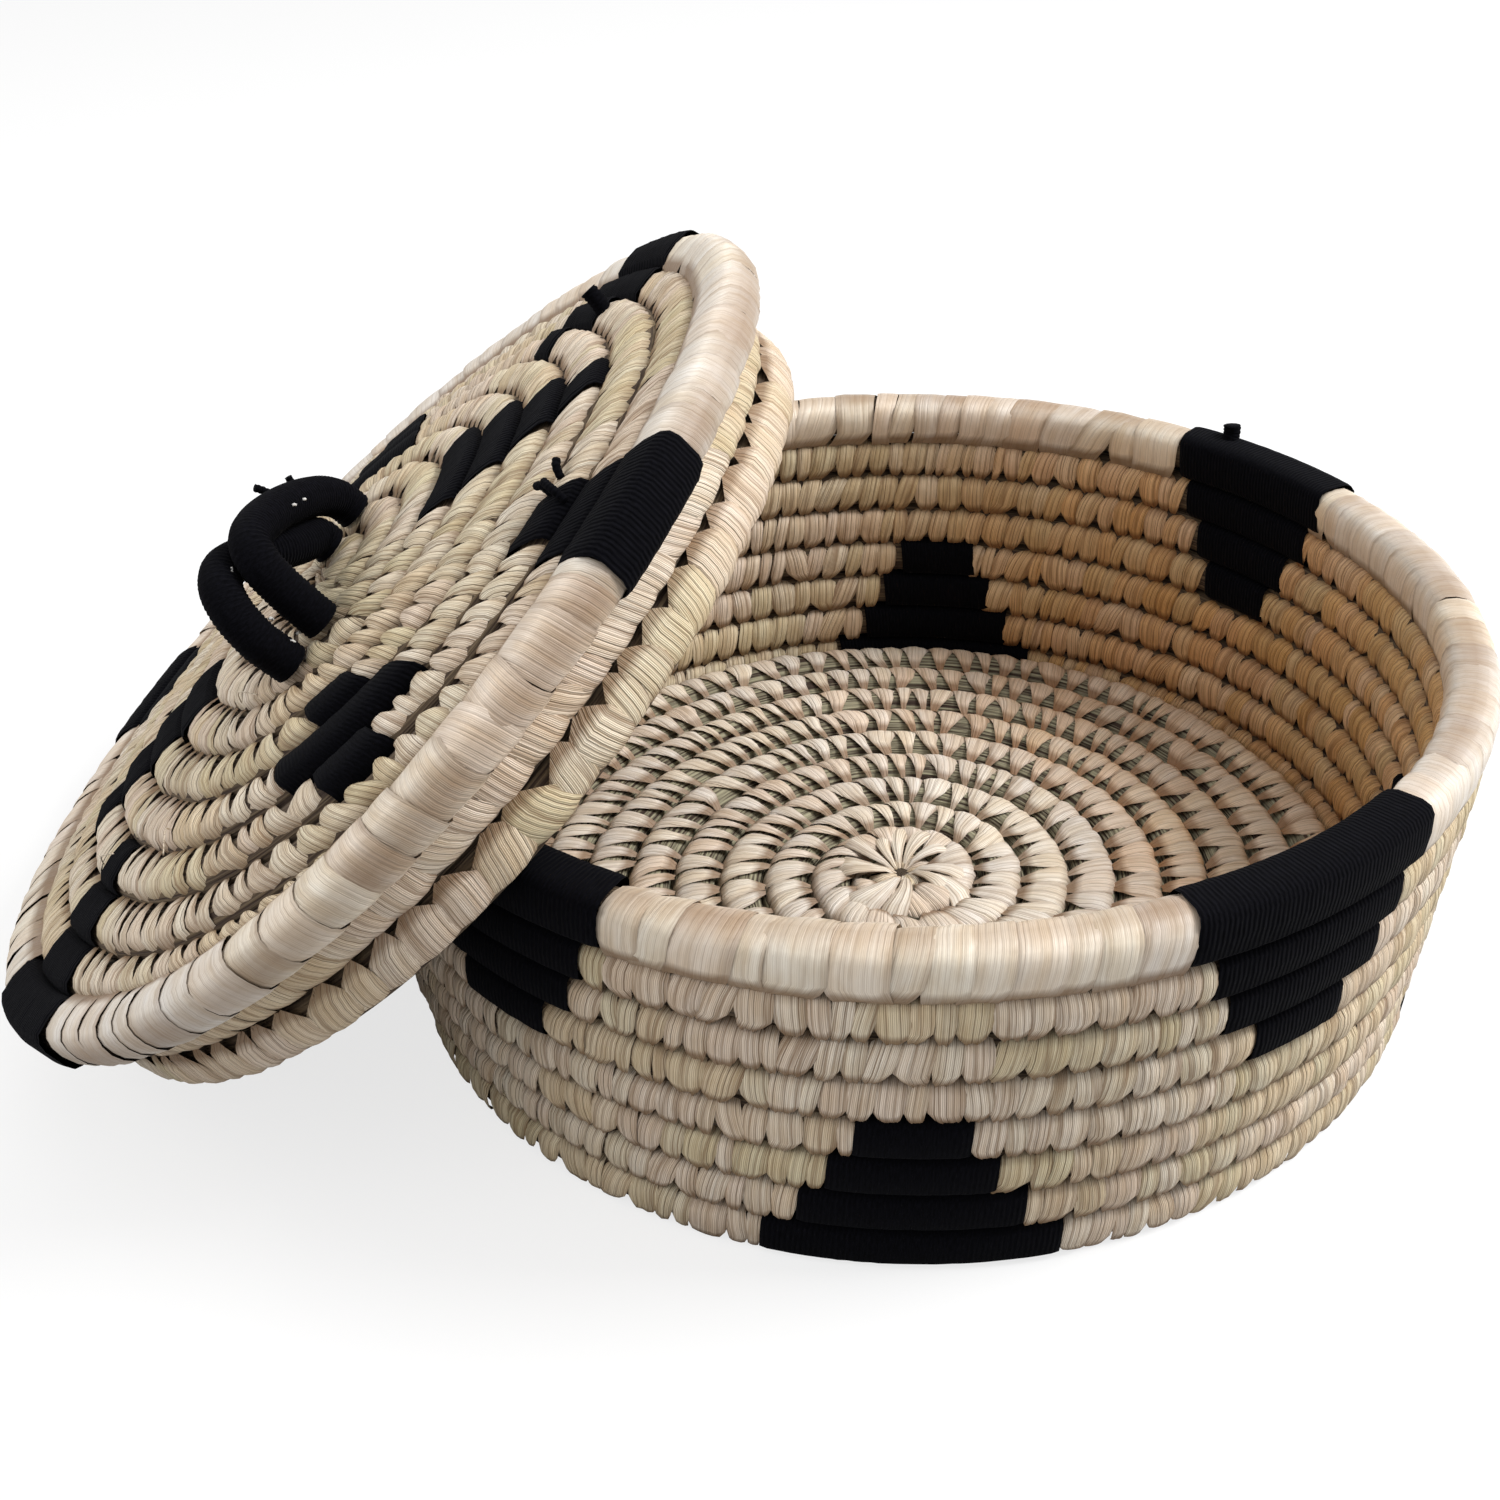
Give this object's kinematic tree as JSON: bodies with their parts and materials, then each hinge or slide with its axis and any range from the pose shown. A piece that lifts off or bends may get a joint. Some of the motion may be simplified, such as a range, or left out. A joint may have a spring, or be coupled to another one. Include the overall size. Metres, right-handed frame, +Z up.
{
  "type": "coiled bread basket with lid",
  "caption": "Round coiled palm-leaf basket for flat breads, its low domed lid with a cord handle taken off and leant on the rim",
  "frame": {"origin": "On the basket's axis, at the flat underside of the knot that its floor starts from, on the ground", "axes": "+Z up; +X to the right as pictured, away from the lid; +Y away from the viewer; the lid leans on the basket's -X side"},
  "size_m": [0.3657, 0.2678, 0.1753],
  "materials": {
    "palm_leaf": "dry split palm leaf over a grass core, cream to straw, faintly glossy along the strips",
    "black_yarn": "blue-black matt yarn wound side by side"
  },
  "bodies": {
    "basket": {"basket_floor_coil": "palm_leaf", "basket_floor_knot": "palm_leaf", "basket_lower_patch_back": "black_yarn", "basket_lower_patch_front": "black_yarn", "basket_lower_patch_left": "black_yarn", "basket_lower_patch_right": "black_yarn", "basket_rim_coil": "palm_leaf", "basket_upper_patch_back_left": "black_yarn", "basket_upper_patch_back_right": "black_yarn", "basket_upper_patch_front_left": "black_yarn", "basket_upper_patch_front_right": "black_yarn", "basket_wall_coil": "palm_leaf"},
    "lid": {"handle_cord_high": "black_yarn", "handle_cord_low": "black_yarn", "lid_crown_coil": "palm_leaf", "lid_inner_patch_back": "black_yarn", "lid_inner_patch_front": "black_yarn", "lid_inner_patch_left": "black_yarn", "lid_inner_patch_right": "black_yarn", "lid_outer_patch_far": "black_yarn", "lid_outer_patch_high": "black_yarn", "lid_outer_patch_low": "black_yarn", "lid_outer_patch_near": "black_yarn", "lid_rim_coil": "palm_leaf", "lid_ring_coil": "palm_leaf", "lid_start_knot": "palm_leaf"}
  },
  "joints": [
    {"name": "lid_lift", "type": "slide", "parent": "basket", "child": "lid", "axis": [0, 0, 1], "range_m": [0, 0.25]}
  ]
}
